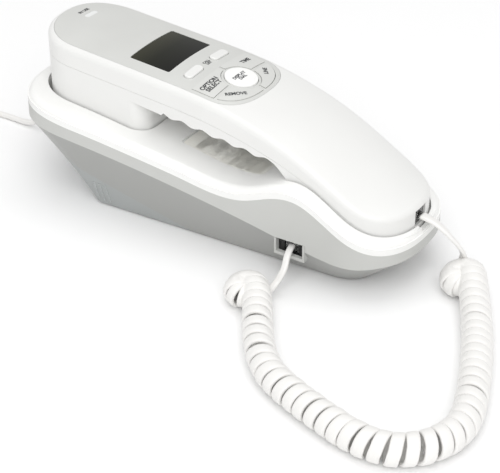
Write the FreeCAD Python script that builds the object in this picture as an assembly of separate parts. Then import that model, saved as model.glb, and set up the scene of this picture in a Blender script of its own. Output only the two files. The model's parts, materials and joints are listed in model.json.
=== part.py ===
"""Slimline corded telephone: a handset lying face down in a narrow cradle base with a wedge bracket.

Millimetres. +Z is up, +Y runs from the cord end to the earpiece end, X = 0 is the plane of symmetry and
the desk is z = 0. Every piece is one STEP file in parts/.
"""

import FreeCAD, Part
import math
import os

V = FreeCAD.Vector

# ---------------------------------------------------------------- driving dimensions
BASE_LENGTH = 226.0
BASE_HALF_WIDTH = 42.8       # at the earpiece end; the base narrows evenly toward the cord end
BASE_FRONT_HALF = 35.8
BASE_FRONT_POWER = 2.6
BASE_POWER = 2.83            # superellipse power of the base's round end, earpiece side
WALL = 2.4
FOOT_HEIGHT = 0.8
LIP_HEIGHT = 3.3             # plain lip of the cover above its parting line
DECK_RISE = 6.2              # deck height above the parting line
HANDSET_REAR = 104.4
HANDSET_FRONT = -108.8
HANDSET_HALF_WIDTH = 28.2
HANDSET_POWER = 2.35
WELL_GAP = 1.0               # play between handset and cradle
CROWN_RADIUS = 160.0
SHELL_PART_DROP = 13.0       # handset parting line below the crown
PLATE_HALF_WIDTH = 25.2
PLATE_FRONT = -23.2
PLATE_THICK = 1.3
WINDOW = (-18.0, 18.0, 23.2, 47.1)
ROUND_KEY = (0.0, -7.5, 8.4)
KEY_ROWS = (9.0, -3.2, -15.4, -27.6, -39.8)
KEY_COLUMNS = (-13.4, 0.0, 13.4)
KEY_SIZE = (9.4, 7.0)
SEAM_GAP = 0.15              # open seam between the handset's shells
CARD = (-21.0, 21.0, -34.0, 15.0)    # index card under its clear cover
BRACKET_FRONT = 3.6
BRACKET_SLOPE = 0.345
STUD_SPACING = 101.6
REAR_STUD_Y = 58.0
SIDE_JACK = (-58.4, 19.4)    # y, z of the handset cord jack in the base's side
SIDE_JACK_FACE = -34.2
JACK_COLLAR = (-36.8, 7.4, 3.9)    # x of its rim, half width and half height of its opening
LINE_JACK = (14.0, 40.7)     # x, z of the line jack in the rear wall
BOARD_Z = 24.0
HOOK_Y = 50.0
EAR_HOLES_Y = 72.0           # centre of the earpiece holes
NOSE_JACK_Z = 35.8
COIL_DIAMETER = 14.6
LEAD_DIAMETER = 3.2
LINE_DIAMETER = 3.2

# (y, z) of the lines that run along the body
PARTING = [(118, 53.4), (90, 50.6), (60, 47.7), (30, 43.9), (6, 40.5), (-10, 37.7), (-20, 36.8),
           (-30, 37.5), (-41, 41.1), (-50, 44.6), (-58, 45.6), (-66, 43.9), (-75, 38.8),
           (-85, 32.8), (-95, 28.4), (-103, 26.6), (-109, 26.2), (-118, 26.2)]
BAND_LOW = [(118, 44.3), (75, 42.4), (60, 41.0), (30, 37.3), (0, 32.7), (-35, 26.5), (-70, 19.1),
            (-85, 17.6), (-95, 18.2), (-105, 20.0), (-118, 21.0)]
CROWN = [(118, 91.6), (80, 88.65), (40, 85.55), (20, 84.0), (5, 82.6), (-7, 81.0), (-19, 78.8),
         (-31, 76.0), (-43, 72.6), (-54, 68.6), (-65, 63.6), (-75, 58.3), (-84, 53.2), (-92, 48.9),
         (-99, 45.8), (-106, 43.6), (-118, 41.2)]
NOSE_BOTTOM = [(-118, 26.0), (-104, 27.6), (-88, 30.8), (-74, 35.8), (-64, 40.9), (-57, 45.6), (-51, 51.4)]
UNDERSIDE = (62.2, 0.111)    # height at y = 0 and slope of the handle's underside
EAR_BOTTOM = (42.4, 0.08)
EAR_FRONT = 33.0             # the earpiece end stands out below the handle behind this line
EAR_CORNER = 9.0
NOSE_REAR = -44.5            # where the handle bends down into the mouthpiece end
WAVE_DEPTH = 1.5             # scallops between the key rows, on the handle's lower edge

os.makedirs("parts", exist_ok=True)


# ---------------------------------------------------------------- small tools
def save(name, *shapes):
    solids = [solid for shape in shapes for solid in shape.Solids]
    shape = solids[0] if len(solids) == 1 else Part.makeCompound(solids)
    if not solids or not shape.isValid():
        print("CHECK", name, len(solids), shape.isValid())
    shape.exportStep(f"parts/{name}.step")


def height(table, y):
    """Smooth height at y through the table's points (monotone pieces, rear to front)."""
    points = sorted(table)
    if y <= points[0][0]:
        return points[0][1]
    if y >= points[-1][0]:
        return points[-1][1]
    slopes = []
    for i in range(len(points)):
        low, high = points[max(i - 1, 0)], points[min(i + 1, len(points) - 1)]
        slopes.append((high[1] - low[1]) / (high[0] - low[0]))
    for i in range(len(points) - 1):
        (y0, z0), (y1, z1) = points[i], points[i + 1]
        if y0 <= y <= y1:
            h = y1 - y0
            t = (y - y0) / h
            return (z0 * (1 + 2 * t) * (1 - t) ** 2 + z1 * t * t * (3 - 2 * t)
                    + h * t * (1 - t) * (slopes[i] * (1 - t) - slopes[i + 1] * t))


def curve(points, start=None, end=None):
    spline = Part.BSplineCurve()
    if start is None:
        spline.interpolate(points)
    else:
        spline.interpolate(Points=points, InitialTangent=start, FinalTangent=end)
    return spline.toShape()


def end_points(half, depth, centre, way, power, count=15):
    """Points of a superelliptic end from x = -half to +half, evenly spaced along it."""
    fine = []
    for i in range(401):
        angle = math.pi * i / 400
        c, s = math.cos(angle), math.sin(angle)
        x = -math.copysign(abs(c) ** (2 / power), c) * half
        fine.append((x, centre + way * depth * abs(s) ** (2 / power)))
    lengths = [0.0]
    for a, b in zip(fine, fine[1:]):
        lengths.append(lengths[-1] + math.dist(a, b))
    points, j = [], 0
    for i in range(count):
        want = lengths[-1] * i / (count - 1)
        while j < 399 and lengths[j + 1] < want:
            j += 1
        t = (want - lengths[j]) / (lengths[j + 1] - lengths[j])
        points.append(tuple(fine[j][k] + t * (fine[j + 1][k] - fine[j][k]) for k in (0, 1)))
    return points


def outline(half, front, rear, power, z, depth=None, rear_depth=None, half_rear=None, rear_power=None):
    """Closed wire: round front end, right side, round rear end, left side; z is a number or z(y)."""
    depth = depth or half
    half_rear = half_rear or half
    rear_depth = rear_depth or depth
    lift = z if callable(z) else (lambda y: z)
    front_end = [V(x, y, lift(y)) for x, y in end_points(half, depth, front + depth, -1, power)]
    rear_power = rear_power or power
    rear_end = [V(x, y, lift(y))
                for x, y in end_points(half_rear, rear_depth, rear - rear_depth, 1, rear_power)]
    rear_end.reverse()

    def side(a, b):
        steps = 1 if not callable(z) else 9
        points = []
        for i in range(steps + 1):
            t = i / steps
            y = a.y + t * (b.y - a.y)
            points.append(V(a.x + t * (b.x - a.x), y, lift(y)))
        return Part.LineSegment(a, b).toShape() if steps == 1 else curve(points)

    return Part.Wire([curve(front_end), side(front_end[-1], rear_end[0]),
                      curve(rear_end), side(rear_end[-1], front_end[0])])


def prism(wire, tall):
    return Part.Face(wire).extrude(V(0, 0, tall))


def profile(lines, half=70.0, low=-20.0):
    """Solid below a line of (y, z) points, extruded across X. A list of point lists makes kinks."""
    edges = []
    for line in lines:
        points = [V(-half, y, z) for y, z in line]
        edges.append(curve(points) if len(points) > 2 else Part.LineSegment(*points).toShape())
    first, last = lines[0][0], lines[-1][-1]
    a, b = V(-half, last[0], low), V(-half, first[0], low)
    edges.append(Part.LineSegment(V(-half, *last), a).toShape())
    edges.append(Part.LineSegment(a, b).toShape())
    edges.append(Part.LineSegment(b, V(-half, *first)).toShape())
    return Part.Face(Part.Wire(edges)).extrude(V(2 * half, 0, 0))


def along(table, offset=0.0, step=8.0, start=118.0, stop=-118.0):
    count = round(abs(stop - start) / step)
    ys = [start + (stop - start) * i / count for i in range(count + 1)]
    return [[(y, height(table, y) + offset) for y in ys]]


def block(x0, x1, y0, y1, z0, z1):
    return Part.makeBox(x1 - x0, y1 - y0, z1 - z0, V(x0, y0, z0))


def disc(radius, tall, x, y, z):
    return Part.makeCylinder(radius, tall, V(x, y, z))


def rounded(x0, x1, y0, y1, z0, z1, radius):
    """Upright block with rounded vertical edges."""
    shape = block(x0, x1, y0, y1, z0, z1)
    radius = min(radius, 0.45 * (x1 - x0), 0.45 * (y1 - y0))
    upright = [e for e in shape.Edges if abs(e.tangentAt(e.FirstParameter).z) > 0.9]
    return shape.makeFillet(radius, upright)


def fillet(shape, radii, pick, label):
    """Round the edges chosen by pick with the first radius that works."""
    edges = [e for e in shape.Edges if pick(e)]
    for radius in radii:
        try:
            result = shape.makeFillet(radius, edges)
            if result.isValid() and result.Volume > 0 and len(result.Solids) == len(shape.Solids):
                print("fillet", label, radius, len(edges))
                return result
        except Exception:
            pass
    print("fillet", label, "none", len(edges))
    return shape


def middle(edge):
    return edge.valueAt((edge.FirstParameter + edge.LastParameter) / 2)


# ---------------------------------------------------------------- base
def base_outline(inset, z):
    front, rear = BASE_FRONT_HALF - inset, BASE_HALF_WIDTH - inset
    end = BASE_LENGTH / 2 - inset
    return outline(front, -end, end, BASE_FRONT_POWER, z,
                   rear_depth=rear, half_rear=rear, rear_power=BASE_POWER)


def base_plan(inset=0.0, z=-5.0, tall=80.0):
    return prism(base_outline(inset, z), tall)


def lower_body(inset=0.0, floor=FOOT_HEIGHT):
    """Upright band over an inward-leaning skirt, open upward to z = 70."""
    top = base_outline(inset, 70.0)
    band = base_outline(inset, lambda y: height(BAND_LOW, y))
    sole = outline(22.5 - inset, -91.0 + inset, 72.0 - inset, BASE_POWER, floor, depth=24.0,
                   rear_depth=12.0, half_rear=29.5 - inset)
    return Part.makeLoft([sole, band, top], True, True)


def wedge(lift=0.0):
    """Everything above the plane where the bracket meets the housing."""
    y0, y1 = BRACKET_FRONT, 130.0
    rise = BRACKET_SLOPE * (y1 - y0)
    base = [V(-60, -130, lift - 0.001), V(-60, y0, lift - 0.001), V(-60, y1, rise + lift),
            V(-60, y1, 90), V(-60, -130, 90)]
    edges = [Part.LineSegment(a, b).toShape() for a, b in zip(base, base[1:] + base[:1])]
    return Part.Face(Part.Wire(edges)).extrude(V(120, 0, 0))


def screw_seat(y):
    """Height of the plane that a case screw's head sits on."""
    return max(BRACKET_SLOPE * (y - BRACKET_FRONT), FOOT_HEIGHT) + 1.6


def keyhole(y, tall=12.0):
    """Entry hole and slot for a wall stud."""
    head = disc(4.6, tall, 0, y, -1)
    slot = block(-2.4, 2.4, y, y + 9.0, -1, tall - 1)
    return head.fuse(slot).fuse(disc(2.4, tall, 0, y + 9.0, -1))


FRONT_STUD_Y = REAR_STUD_Y - STUD_SPACING
BOSSES = [(-27.0, 62.0), (27.0, 62.0), (-17.0, -78.0), (17.0, -78.0)]
OUTER = lower_body()
INNER = lower_body(WALL, FOOT_HEIGHT + WALL)


def base_lower_housing():
    below = profile(along(PARTING))
    shell = OUTER.common(below).common(wedge())
    hollow = INNER.common(wedge(WALL))
    body = shell.cut(hollow)
    for x, y in BOSSES:
        post = disc(3.6, 60, x, y, 0).common(OUTER).common(wedge()).common(profile(along(PARTING, -1.0)))
        body = body.fuse(post)
    for tub in wells(0.8 + WALL, WALL + 0.1):
        body = body.cut(tub)
    for y in (-31.0, 24.0):
        rest = block(-14, 14, y, y + 3.0, FOOT_HEIGHT, BOARD_Z)
        body = body.fuse(rest.common(OUTER).common(wedge()))
    for x, y in BOSSES:
        low = screw_seat(y)
        body = body.cut(disc(1.5, 60, x, y, -1)).cut(disc(3.0, 4.0, x, y, low - 1.8))
    body = body.cut(keyhole(FRONT_STUD_Y))
    y, z = SIDE_JACK
    rim, wide, tall = JACK_COLLAR
    body = body.fuse(block(rim, -30.0, y - wide - 1.0, y + wide + 1.0, z - tall - 1.5, z + tall))
    body = body.cut(block(-60, SIDE_JACK_FACE - 0.3, y - wide, y + wide, z - tall, z + tall))
    body = body.cut(block(SIDE_JACK_FACE - 0.4, -16.0, y - 7.4, y + 7.4, z - 4.4, z + 4.4))
    x, z = LINE_JACK
    body = body.cut(block(x - 7.2, x + 7.2, 91.8, 125.0, z - 4.8, z + 4.8))
    slot = block(34.9, 43.0, 2.0, 14.0, 35.6, 38.4)
    body = body.cut(slot)
    for i in range(5):
        body = body.cut(block(-9.0, 9.0, -26.0 + 5.0 * i, -24.0 + 5.0 * i, -1, 5))
    return body


def desk_wall_bracket():
    under = OUTER.cut(wedge())
    hollow = INNER.cut(wedge(-0.01))
    tray = under.cut(hollow)
    for i in range(3):
        y = 55.0 + 3.4 * i
        rib = block(-44, 44, y, y + 1.1, 3.0, 15.5)
        skin = lower_body(-0.5, FOOT_HEIGHT).cut(wedge()).cut(OUTER)
        tray = tray.fuse(rib.common(skin))
    web = block(-1.2, 1.2, 12.0, 40.0, FOOT_HEIGHT, 20).fuse(block(-26, 26, 38, 40, FOOT_HEIGHT, 20))
    tray = tray.fuse(web.common(OUTER).cut(wedge()))
    tray = tray.cut(keyhole(REAR_STUD_Y, 6.0))
    return max(tray.Solids, key=lambda s: s.Volume)


def rubber_feet():
    return [disc(4.0, FOOT_HEIGHT, x, y, 0) for x, y in ((-21, 62), (21, 62), (-15, -62), (15, -62))]


def handset_plan(grow=0.0, z=10.0, tall=90.0):
    wire = outline(HANDSET_HALF_WIDTH + grow, HANDSET_FRONT - grow, HANDSET_REAR + grow, HANDSET_POWER, z)
    return prism(wire, tall)


def well_plan(grow=0.0):
    """The cradle is a little longer than the handset, most of all behind the earpiece."""
    wire = outline(HANDSET_HALF_WIDTH + WELL_GAP + grow, HANDSET_FRONT - 0.9 - grow,
                   HANDSET_REAR + 2.2 + grow, HANDSET_POWER, 5.0)
    return prism(wire, 90.0)


def ear_z(y):
    return EAR_BOTTOM[0] + EAR_BOTTOM[1] * (y - EAR_FRONT)


def pod_block(grow=0.0):
    """Rounded block that bounds the earpiece end below the handle."""
    half = HANDSET_HALF_WIDTH + grow
    return rounded(-half, half, EAR_FRONT - grow, 150.0, 0.0, 95.0, EAR_CORNER + grow)


def ear_floor(lift):
    return profile([[(155, ear_z(155) + lift), (-10, ear_z(-10) + lift)]])


def wells(drop, grow):
    """Earpiece well and mouthpiece well as solids reaching far above the deck."""
    plan = well_plan(grow)
    ear = plan.common(pod_block(WELL_GAP + grow)).cut(ear_floor(-drop))
    nose = plan.common(block(-60, 60, -130, NOSE_REAR + 1.0 + grow, 0, 95)).cut(handle_tool(-drop, False))
    return ear, nose


def handle_tool(r=0.0, waves=True):
    """Everything below the handle and the mouthpiece end, raised by r; it runs on under the earpiece."""
    pitch = KEY_ROWS[0] - KEY_ROWS[1]
    rear, heel = EAR_FRONT + 6.0, NOSE_REAR
    handle = []
    for i in range(67):
        y = rear + (heel - rear) * i / 66
        keyed = waves and KEY_ROWS[-1] - pitch / 2 < y < KEY_ROWS[0] + pitch
        dip = WAVE_DEPTH / 2 * (1 + math.cos(2 * math.pi * (y - KEY_ROWS[0]) / pitch)) if keyed else 0.0
        handle.append((y, under_z(y) + r + dip))
    nose = [(heel, handle[-1][1])] + [(y, z + r) for y, z in reversed(nose_points())]
    return profile([[(155, under_z(155) + r), handle[0]], handle, nose])


def nose_points():
    """(y, z) points of the mouthpiece end's underside, front to rear."""
    ys = [-118, -111, -104, -96, -88, -81, -74, -68, -62, -56, -51]
    return [(y, height(NOSE_BOTTOM, y)) for y in ys]


def bottom_tool(r=0.0, waves=True):
    """What is cut away below the handset: all below the handle, but not the earpiece end."""
    pod = handset_plan(-r).common(pod_block(-r)).cut(ear_floor(r))
    return handle_tool(r, waves).cut(pod)


def base_upper_cover():
    above = base_plan().cut(profile(along(PARTING)))
    lip = above.common(profile(along(PARTING, LIP_HEIGHT)))
    crown = base_plan(0.6).cut(profile(along(PARTING))).common(profile(along(PARTING, DECK_RISE)))
    crown = fillet(crown, (3.6, 3.0, 2.6, 2.0, 1.5),
                   lambda e: middle(e).z > height(PARTING, middle(e).y) + DECK_RISE - 0.3, "cover shoulder")
    body = lip.fuse(crown)
    hollow = base_plan(WALL, -6.0).common(profile(along(PARTING, DECK_RISE - WALL)))
    body = body.cut(hollow)
    top = profile(along(PARTING, DECK_RISE - 0.5))
    for tub in wells(0.6 + WALL, WALL):
        body = body.fuse(tub.common(top).common(base_plan(0.8)))
    for well in wells(0.6, 0.0):
        body = body.cut(well)
    notch = block(-4.0, 4.0, -125, -100, 30.0, 60)
    body = body.cut(notch)
    body = body.cut(card_pocket())
    body = body.cut(disc(3.3, 20, 0, HOOK_Y, 34)).cut(tab_slot(0.2)).cut(line_jack_block(0.1))
    return body


def card_pocket():
    x0, x1, y0, y1 = CARD
    pocket = rounded(x0 - 0.2, x1 + 0.2, y0 - 0.2, y1 + 0.2, 20, 90, 2.0)
    return pocket.cut(profile(along(PARTING, DECK_RISE - 1.3)))


def card_layer(low, high, inset):
    x0, x1, y0, y1 = CARD
    plate = rounded(x0 + inset, x1 - inset, y0 + inset, y1 - inset, 20, 90, 1.8)
    below = profile(along(PARTING, DECK_RISE + low))
    return plate.cut(below).common(profile(along(PARTING, DECK_RISE + high)))


def line_jack_block(grow=0.0):
    x, z = LINE_JACK
    return block(x - 7.0 - grow, x + 7.0 + grow, 92.0 - grow, 107.0, z - 4.6 - grow, z + 4.6 + grow)


def base_inner_parts():
    save("base_circuit_board", block(-24, 24, -40, 58, BOARD_Z, BOARD_Z + 1.6))
    y, z = SIDE_JACK
    jack = block(SIDE_JACK_FACE, -18.0, y - 7.2, y + 7.2, z - 4.2, z + 4.2)
    save("base_handset_jack", jack.cut(block(-40, -21.6, y - 4.1, y + 4.1, z - 3.5, z + 3.5)))
    x, z = LINE_JACK
    save("line_jack", line_jack_block().cut(block(x - 5.0, x + 5.0, 96.0, 110, z - 3.6, z + 3.6)))
    ringer = disc(11.0, 5.0, 0, -16.0, 5.0).cut(disc(2.0, 3.0, 0, -16.0, 4.0))
    save("ringer", ringer)
    save("ballast_plate", block(-15, 15, -64, -50, 3.3, 7.3))
    hook = block(-6, 6, HOOK_Y - 6, HOOK_Y + 6, BOARD_Z + 1.6, BOARD_Z + 9.0)
    save("hook_switch_body", hook.cut(disc(2.7, 20, 0, HOOK_Y, BOARD_Z + 3.0)))
    screws = []
    for x, y in BOSSES:
        low = screw_seat(y)
        screws.append(disc(2.7, 1.5, x, y, low + 0.7).fuse(disc(1.4, 14.0, x, y, low + 2.1)))
    save("base_screws", *screws)


def hook_plunger():
    top = ear_z(HOOK_Y) - 0.3
    stem = disc(2.4, top - 0.8 - BOARD_Z - 4.0, 0, HOOK_Y, BOARD_Z + 4.0)
    tip = disc(3.0, 1.2, 0, HOOK_Y, top - 1.2)
    return fillet(stem.fuse(tip).removeSplitter(), (0.5,), lambda e: middle(e).z > top - 0.1, "plunger")


def ringer_switch():
    return block(36.9, 39.5, 3.2, 6.8, 35.9, 38.1).fuse(block(35.9, 36.9, 2.4, 7.6, 35.7, 38.3))


def tab_slot(grow=0.0):
    """Small pocket in the deck between card and earpiece well for the wall hanging tab."""
    return block(-5.0 - grow, 5.0 + grow, 20.0 - grow, 28.5 + grow, 40.0, 70.0)


def wall_tab():
    """Reversible tab that holds the handset when the telephone hangs on a wall."""
    plate = tab_slot().cut(profile(along(PARTING, DECK_RISE - WALL)))
    plate = plate.common(profile(along(PARTING, DECK_RISE - 0.1)))
    nib = block(-3.0, 3.0, 25.8, 28.5, 40.0, 70.0)
    nib = nib.cut(profile(along(PARTING, DECK_RISE - 1.0))).common(profile(along(PARTING, DECK_RISE + 2.4)))
    return plate.fuse(nib)


# ---------------------------------------------------------------- handset
def crown_radius(y):
    """The back grows rounder toward the mouthpiece."""
    t = min(max((-12.0 - y) / 80.0, 0.0), 1.0)
    return CROWN_RADIUS - (CROWN_RADIUS - 72.0) * t * (2 - t)


def crown_tool(drop=0.0):
    """Everything below the handset's crowned back, lowered by drop."""
    sections = []
    for y in [120, 100, 80, 60, 40, 25, 12, 2, -8, -18, -28, -38, -48, -58, -68, -78, -88, -98, -108, -120]:
        z = height(CROWN, y) - drop
        sag = 40.0 ** 2 / (2 * crown_radius(y))
        left, top, right = V(-40, y, z - sag), V(0, y, z), V(40, y, z - sag)
        low_left, low_right = V(-40, y, -15), V(40, y, -15)
        sections.append(Part.Wire([Part.Arc(left, top, right).toShape(),
                                   Part.LineSegment(right, low_right).toShape(),
                                   Part.LineSegment(low_right, low_left).toShape(),
                                   Part.LineSegment(low_left, left).toShape()]))
    return Part.makeLoft(sections, True, False)


def under_z(y):
    return UNDERSIDE[0] + UNDERSIDE[1] * y


def handset_body():
    crown = crown_tool()
    body = handset_plan().common(crown)

    def on_rim(edge):
        at = middle(edge)
        top = height(CROWN, at.y) - at.x ** 2 / (2 * crown_radius(at.y))
        return at.z > 38 and abs(at.z - top) < 1.2

    body = fillet(body, (3.4, 3.0, 2.5, 2.0), on_rim, "handset back")
    return body.cut(bottom_tool())


def split_tool(gap=0.0):
    """Everything below the parting line of the handset's shells."""
    return profile(along(CROWN, -SHELL_PART_DROP - gap))


def plate_plan(inset=0.0, z=20.0, tall=90.0):
    wire = outline(PLATE_HALF_WIDTH - inset, PLATE_FRONT + inset, HANDSET_REAR - 3.2 - inset,
                   HANDSET_POWER, z, depth=19.0, rear_depth=PLATE_HALF_WIDTH - inset)
    return prism(wire, tall)


def crown_at(x, y):
    return height(CROWN, y) - x * x / (2 * crown_radius(y))


CROWN_0 = crown_tool()
CROWN_PLATE = crown_tool(PLATE_THICK)
CROWN_INNER = crown_tool(WALL)
ROUND_X, ROUND_Y, ROUND_R = ROUND_KEY
LIST_KEYS = {"key_list_left": -11.0, "key_list_right": 11.0}
LIST_Y = 13.2
LIST_SIZE = (12.4, 5.0)
SECTORS = {"key_sector_rear_left": (-1, 1), "key_sector_front_left": (-1, -1),
           "key_sector_front_right": (1, -1), "key_sector_rear_right": (1, 1)}
SECTOR_REAR = 6.4
SECTOR_FRONT_INSET = 1.6
LINE_GAP = 0.45


def sector_plan(way, gap):
    """Quarter of the ring of keys around the round key."""
    x_way, y_way = way
    ring = plate_plan(SECTOR_FRONT_INSET + gap)
    ring = ring.cut(disc(ROUND_R + 1.2 + gap, 120, ROUND_X, ROUND_Y, 0))
    low_x, high_x = sorted((x_way * (LINE_GAP + gap), x_way * 40.0))
    y_gap = ROUND_Y + y_way * (LINE_GAP + gap)
    low_y, high_y = sorted((y_gap, ROUND_Y - 40 if y_way < 0 else SECTOR_REAR - gap))
    return ring.common(block(low_x, high_x, low_y, high_y, 10, 110))


def list_plan(x, grow):
    dx, dy = LIST_SIZE[0] / 2 + grow, LIST_SIZE[1] / 2 + grow
    return rounded(x - dx, x + dx, LIST_Y - dy, LIST_Y + dy, 20, 110, 2.2 + grow)


def back_openings(grow):
    """Key holes through plate and shell."""
    shapes = [disc(ROUND_R + grow, 100, ROUND_X, ROUND_Y, 20)]
    shapes += [list_plan(x, grow) for x in LIST_KEYS.values()]
    shapes += [sector_plan(way, 0.6 - grow) for way in SECTORS.values()]
    return shapes


def window_block(grow, radius):
    x0, x1, y0, y1 = WINDOW
    return rounded(x0 - grow, x1 + grow, y0 - grow, y1 + grow, 20, 110, radius)


def lamp_block(grow):
    return rounded(0.6 - grow, 9.4 + grow, 88.0 - grow, 90.9 + grow, 20, 110, 1.2)


def handset_hollow():
    """Inside of the handset: plan, back and underside all set in by the wall."""
    return handset_plan(-WALL).common(CROWN_INNER).cut(bottom_tool(WALL, False))


def jack_block(grow=0.0):
    z = NOSE_JACK_Z
    return block(-5.6 - grow, 5.6 + grow, -106.4 - grow, -92.0 + grow, z - 4.6 - grow, z + 4.6 + grow)


def nose_recess():
    z = NOSE_JACK_Z
    return rounded(-5.0, 5.0, -125.0, -106.2, z - 4.4, z + 4.4, 0.5)


HANDSET_SCREWS = [(0.0, 95.0), (0.0, -70.0)]


def screw_floor(y):
    return ear_z(y) if y > 0 else height(NOSE_BOTTOM, y + 3.0)


def handset_shells():
    body = handset_body()
    hollow = handset_hollow()
    below = split_tool()
    posts = []
    for x, y in HANDSET_SCREWS:
        posts.append(disc(3.2, 90, x, y, 10).common(body).common(crown_tool(0.8)))
    shell = body.cut(hollow)
    for post in posts:
        shell = shell.fuse(post)
    for x, y in HANDSET_SCREWS:
        shell = shell.cut(disc(1.5, 90, x, y, 10).common(crown_tool(4.0)))
        shell = shell.cut(disc(3.0, 4.0, x, y, screw_floor(y) - 2.0))
    shell = shell.cut(jack_block(0.1)).cut(nose_recess())
    back = shell.cut(below)
    back = back.cut(plate_plan(-0.15).cut(CROWN_PLATE))
    for hole in back_openings(0.6):
        back = back.cut(hole)
    back = back.cut(window_block(-1.5, 1.0)).cut(lamp_block(-0.4))
    for x in KEY_COLUMNS:
        low_end = key_plan(x, KEY_ROWS[-1], 0.3, 4).common(block(-40, 40, -60, 0, 40, 62.5))
        back = back.cut(low_end)
    inner = shell.common(split_tool(SEAM_GAP))
    for i, y in enumerate(KEY_ROWS):
        for x in KEY_COLUMNS:
            inner = inner.cut(key_plan(x, y, 0.3, i))
    for ring, count in ((0.0, 1), (5.0, 6), (10.0, 12)):
        for i in range(count):
            a = 2 * math.pi * i / count
            x, y = ring * math.cos(a), EAR_HOLES_Y + ring * math.sin(a)
            inner = inner.cut(disc(1.0, 12, x, y, ear_z(EAR_HOLES_Y) - 6))
    for x in (-3.0, 0.0, 3.0):
        inner = inner.cut(disc(0.8, 12, x, -86.0, height(NOSE_BOTTOM, -86) - 6))
    return back, inner


def faceplate():
    plate = plate_plan().common(CROWN_0).cut(CROWN_PLATE)
    for hole in back_openings(0.25):
        plate = plate.cut(hole)
    return plate.cut(window_block(0.1, 1.0)).cut(lamp_block(0.05))


def capped(shape, proud, depth):
    """Key cap: stands proud of the back and reaches depth below it."""
    return shape.common(crown_tool(-proud)).cut(crown_tool(depth))


def back_keys():
    save("key_round", fillet(capped(disc(ROUND_R, 100, ROUND_X, ROUND_Y, 20), 0.9, 5.0), (0.5, 0.3),
                             lambda e: middle(e).z > crown_at(8, ROUND_Y) - 0.4, "round key"))
    for name, x in LIST_KEYS.items():
        save(name, fillet(capped(list_plan(x, 0.0), 1.0, 5.0), (0.6, 0.4),
                          lambda e: middle(e).z > crown_at(x, LIST_Y) - 0.2, name))
    for name, way in SECTORS.items():
        save(name, capped(sector_plan(way, 0.6), 0.3, 4.6))


def key_plan(x, y, grow, row):
    dx, dy = KEY_SIZE[0] / 2 + grow, KEY_SIZE[1] / 2 + grow
    if row == 0:
        dy -= 1.6
    key = rounded(x - dx, x + dx, y - dy, y + dy, 40, 80, min(dy - 0.2, 2.6))
    return key.common(block(-40, 40, -60, 40, 0, 74))


DIAL = ["1", "2", "3", "4", "5", "6", "7", "8", "9", "star", "0", "hash"]


def pad_keys():
    """Inner keypad: one row of function keys, four rows of dial keys. Caps stand 1.1 below the handle."""
    index = 0
    for row, y in enumerate(KEY_ROWS):
        for column, x in enumerate(KEY_COLUMNS):
            if row == 0:
                name = ("key_flash", "key_volume", "key_redial")[column]
            else:
                name = "key_dial_" + DIAL[index]
                index += 1
            x_key = -x
            cap = key_plan(x_key, y, 0.0, row)
            low, high = under_z(y) - 1.1, under_z(y) + 4.0
            cap = cap.common(block(-40, 40, -60, 40, low, high))
            cap = fillet(cap, (0.7, 0.4), lambda e: middle(e).z < low + 0.1, name)
            save(name, cap)


def pad_board_z(y):
    return 71.7 + 0.126 * y


def slanted(x0, x1, y0, y1, thick, line):
    """Flat sheet of the given thickness whose underside follows line(y)."""
    z0, z1 = line(y0), line(y1)
    points = [V(x0, y0, z0), V(x0, y1, z1), V(x0, y1, z1 + thick), V(x0, y0, z0 + thick)]
    edges = [Part.LineSegment(a, b).toShape() for a, b in zip(points, points[1:] + points[:1])]
    return Part.Face(Part.Wire(edges)).extrude(V(x1 - x0, 0, 0))


def handset_inner_parts():
    hollow = handset_hollow()
    save("handset_circuit_board", slanted(-20.5, 20.5, -44.0, 20.5, 1.6, pad_board_z).common(hollow))
    mat = slanted(-20.0, 20.0, -45.0, 14.5, 1.2, lambda y: under_z(y) + 5.4)
    save("keypad_mat", mat.common(hollow))
    module = block(-20.0, 20.0, 21.5, 49.0, 76.4, 80.2)
    save("display_module", module)
    lens = window_block(0.0, 0.9).common(crown_tool(0.25)).cut(CROWN_PLATE)
    save("display_lens", lens)
    save("call_lamp_lens", lamp_block(0.0).common(crown_tool(0.05)).cut(CROWN_PLATE))
    z = ear_z(EAR_HOLES_Y + 17.5) + WALL
    save("receiver_gasket", disc(17.5, 1.5, 0, EAR_HOLES_Y, z + 0.6).cut(disc(12.0, 5, 0, EAR_HOLES_Y, z)))
    capsule = disc(17.0, 8.0, 0, EAR_HOLES_Y, z + 2.1)
    save("receiver_capsule", capsule.fuse(disc(8.0, 3.0, 0, EAR_HOLES_Y, z + 10.1)))
    z = height(NOSE_BOTTOM, -81.0) + WALL + 0.3
    save("microphone", disc(4.8, 4.0, 0, -86.0, z))
    z = NOSE_JACK_Z
    save("handset_jack", jack_block().cut(block(-4.1, 4.1, -125, -95.6, z - 3.6, z + 3.6)))
    screws = []
    for x, y in HANDSET_SCREWS:
        low = screw_floor(y) + 0.4
        screws.append(disc(2.7, 1.5, x, y, low).fuse(disc(1.4, 11.0, x, y, low + 1.4)))
    save("handset_screws", *screws)


# ---------------------------------------------------------------- cords
BASE_LEAD = [V(-33.5, -58.4, 19.4), V(-40.2, -59.6, 18.8), V(-46.4, -60.9, 13.0), V(-51.6, -56.4, 5.8)]
COIL_HEIGHT = COIL_DIAMETER / 2
COIL = [V(x, y, COIL_HEIGHT) for x, y in
        [(-55.5, -50.2), (-68.4, -60.3), (-83.0, -70.0), (-97.5, -80.5), (-110.0, -94.0), (-116.5, -110.5),
         (-121.9, -128.5), (-126.3, -146.5), (-125.0, -163.0), (-113.5, -175.5), (-96.5, -180.5),
         (-78.5, -176.0), (-60.5, -169.0), (-42.0, -161.0), (-23.5, -151.5), (-5.5, -141.3),
         (10.3, -130.4)]]
NOSE_LEAD = [V(0.0, -109.5, 35.8), V(-0.5, -116.5, 35.2), V(0.3, -124.5, 31.0), V(3.5, -130.0, 24.0),
             V(9.0, -132.5, 17.5), V(11.3, -132.9, 10.6)]
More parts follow.
